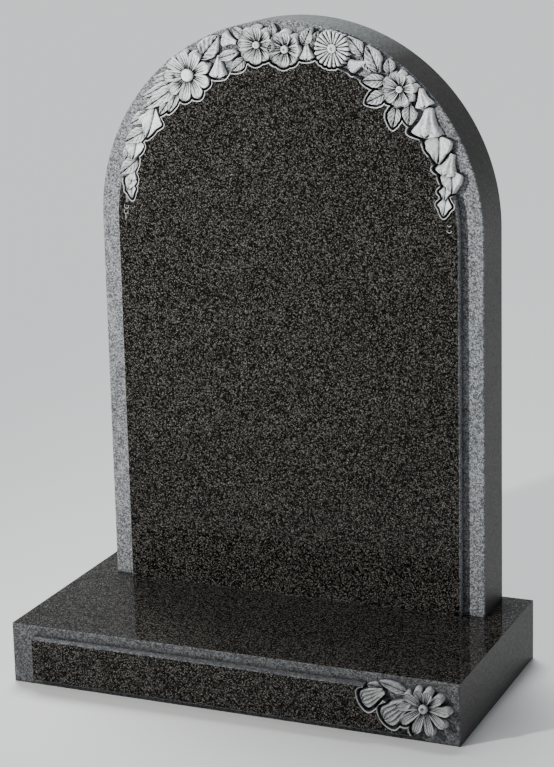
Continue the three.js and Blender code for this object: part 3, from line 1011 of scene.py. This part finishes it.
garland_flowers = [
    {"along": 56, "out": -3, "petals": 9, "reach": 34, "wide": 16,
     "first": 263, "button": 8, "pit": 0.1, "inner": 0.55, "outer": 1.1, "rise": 1.0},
    {"along": 82, "out": 0, "petals": 8, "reach": 25, "wide": 16,
     "first": 90, "button": 4.5, "pit": 0.4, "inner": 0.5, "outer": 1.06, "rise": 0.85},
    {"along": 91.5, "out": -7, "petals": 8, "reach": 23, "wide": 16,
     "first": 267, "button": 5, "pit": 0.5, "inner": 0.5, "outer": 1.1, "rise": 0.85},
    {"along": 107, "out": 6, "petals": 22, "reach": 23.5, "wide": 5.3,
     "first": 0, "button": 6, "pit": 0.4, "inner": 0.7, "outer": 1.05, "rise": 0.95},
    {"along": 131, "out": 6, "petals": 10, "reach": 22.5, "wide": 12,
     "first": 6, "button": 4.2, "pit": 0.4, "inner": 0.5, "outer": 1.1, "rise": 0.85},
]


def arch_place(along, out):
    """A place on the face, from degrees along the arch and millimetres outside the panel's edge."""
    angle = math.pi - math.radians(along)
    radius = panel_radius + out * MM
    return radius * math.cos(angle), spring_line + radius * math.sin(angle)


def on_arch(row):
    """One row of the garland in metres on the face."""
    outline, along, out, turn, long, wide, root, tip = row
    x, y = arch_place(along, out)
    return {
        "outline": outline, "x": x, "y": y, "heading": math.radians(turn),
        "long": long * MM, "wide": wide * MM, "root": root, "tip": tip,
    }


def kept_on_stone(x, y):
    """The carving stops a little short of the stone's edge, where it reaches it."""
    reach = arch_radius - edge_clearance
    if y < spring_line:
        return min(max(x, -reach), reach), y
    pull = min(1.0, reach / max(math.hypot(x, y - spring_line), reach / 10))
    return x * pull, spring_line + (y - spring_line) * pull


flowers = []
for row in garland_flowers:
    flower = dict(row)
    flower["x"], flower["y"] = arch_place(row["along"], row["out"])
    flower["first"] = math.radians(row["first"])
    for key in ("reach", "wide", "button"):
        flower[key] *= MM
    flowers.append(flower)
garland, garland_ground = carving(
    [on_arch(row) for row in garland_leaves], flowers, [on_arch(row) for row in garland_pockets],
    stone_relief, 1.0, kept_on_stone, stone_carved, stone_frosted,
)

# Under the garland's two ends, fine pale lines are cut into the polish: on the left a curled tendril and two
# buds, on the right two buds. Each row gives the middle of an arc, its radius and the degrees it runs
# between, in millimetres from the middle of the stone's foot.
tendril_arcs = [
    (-252, 526, 30, 8, -10), (-223, 516, 3.2, 130, 385), (-224, 508.5, 2.8, 125, 390),
    (-254, 503, 29.5, 4, -11), (224, 514, 2.6, 195, 345), (224, 507, 3.4, 190, 350),
]
tendril_half_width = 0.0005
tendril_step = 15
stroke_points, stroke_edges = [], []
for middle_x, middle_y, radius, first, last in tendril_arcs:
    steps = max(4, round(abs(last - first) / tendril_step))
    for step in range(steps + 1):
        angle = math.radians(first + (last - first) * step / steps)
        if step:
            stroke_edges.append((len(stroke_points) - 1, len(stroke_points)))
        across, up = middle_x + radius * math.cos(angle), middle_y + radius * math.sin(angle)
        stroke_points.append((across * MM, up * MM, stone_relief))
stroke_mesh = bpy.data.meshes.new("strokes")
stroke_mesh.from_pydata(stroke_points, stroke_edges, [])
incised = grown(line_tree, stroke_mesh, {"Half width": tendril_half_width, "Stone": stone_carved})
incised = grown(cut_tree, incised, {"Stone": stone_carved, "Rim": stone_carved})

stone_panel = worked("stone panel", divided(stone_panel, stone_cut_square), garland_ground, "DIFFERENCE")
stone_mesh = worked("headstone", divided(slab, stone_cut_square), stone_panel, "UNION")
stone_mesh = worked("headstone", stone_mesh, incised, "DIFFERENCE")
stone = finished("headstone_stone", stone_mesh, garland, stone_finishes, stone_face_y, base_height + bed_gap)
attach(stone, "root")
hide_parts("headstone")
for form in list(forms.objects):
    bpy.data.objects.remove(form)
bpy.data.collections.remove(forms)


# The studio: a plain pale floor, a key light at the front left that fades towards the stone's foot, a soft
# light overhead, and a dim surround
floor_size = 80.0
key_place = (-1.0, -1.43, 0.95)
key_aim = (-0.1, 0.07, 0.76)
key_strength = 240.0
key_spread = 76.0
key_softness = 0.05
overhead_travel = (0.25, -0.40, -1.0)
overhead_strength = 3.0
overhead_spread = 25.0
surround_strength = 0.28
floor_colour = (0.80, 0.80, 0.795, 1.0)
floor_mesh = bpy.data.meshes.new("floor")
corner = floor_size / 2
floor_mesh.from_pydata(
    [(-corner, -corner, 0), (corner, -corner, 0), (corner, corner, 0), (-corner, corner, 0)],
    [], [(0, 1, 2, 3)],
)
floor = bpy.data.objects.new("floor", floor_mesh)
bpy.context.scene.collection.objects.link(floor)
floor_paint = bpy.data.materials.new("pale floor")
floor_paint.use_nodes = True
floor_shader = floor_paint.node_tree.nodes["Principled BSDF"]
floor_shader.inputs["Base Color"].default_value = floor_colour
floor_shader.inputs["Roughness"].default_value = 0.9
floor_mesh.materials.append(floor_paint)

key_light = bpy.data.lights.new("key light", "SPOT")
key_light.energy = key_strength
key_light.spot_size = math.radians(key_spread)
key_light.spot_blend = 1.0
key_light.shadow_soft_size = key_softness
key_light.color = (1.0, 0.99, 0.97)
key_holder = bpy.data.objects.new("key light", key_light)
bpy.context.scene.collection.objects.link(key_holder)
key_holder.location = key_place
key_holder.rotation_mode = "QUATERNION"
key_holder.rotation_quaternion = (Vector(key_aim) - Vector(key_place)).to_track_quat("-Z", "Y")

overhead_light = bpy.data.lights.new("overhead light", "SUN")
overhead_light.energy = overhead_strength
overhead_light.angle = math.radians(overhead_spread)
overhead_light.color = (0.97, 0.99, 1.0)
overhead_holder = bpy.data.objects.new("overhead light", overhead_light)
bpy.context.scene.collection.objects.link(overhead_holder)
overhead_holder.rotation_mode = "QUATERNION"
overhead_holder.rotation_quaternion = Vector(overhead_travel).to_track_quat("-Z", "Y")

world = bpy.data.worlds.new("surround")
world.use_nodes = True
world.node_tree.nodes["Background"].inputs["Color"].default_value = (0.9, 0.95, 1.0, 1.0)
world.node_tree.nodes["Background"].inputs["Strength"].default_value = surround_strength
bpy.context.scene.world = world

# The camera stands in front of the stone's right side, a little above its top, and looks down at it. Its
# lens is lowered by a share of the picture's height, which keeps upright edges more nearly upright.
camera_place = (1.0901, -2.4865, 1.1044)
yaw, pitch, roll = (math.radians(angle) for angle in (23.34, 12.692, 1.38))
lens = 103.57
film_width = 36.0
lens_drop = 0.1043
forward = Vector((-math.sin(yaw) * math.cos(pitch), math.cos(yaw) * math.cos(pitch), -math.sin(pitch)))
level = Vector((math.cos(yaw), math.sin(yaw), 0.0))
down = forward.cross(level)
right = level * math.cos(roll) + down * math.sin(roll)
below = down * math.cos(roll) - level * math.sin(roll)
camera_data = bpy.data.cameras.new("camera")
camera_data.lens = lens
camera_data.sensor_width = film_width
camera_data.shift_y = -lens_drop
camera = bpy.data.objects.new("camera", camera_data)
bpy.context.scene.collection.objects.link(camera)
turn = Matrix((right, -below, -forward)).transposed().to_4x4()
camera.matrix_world = Matrix.Translation(camera_place) @ turn
bpy.context.scene.camera = camera
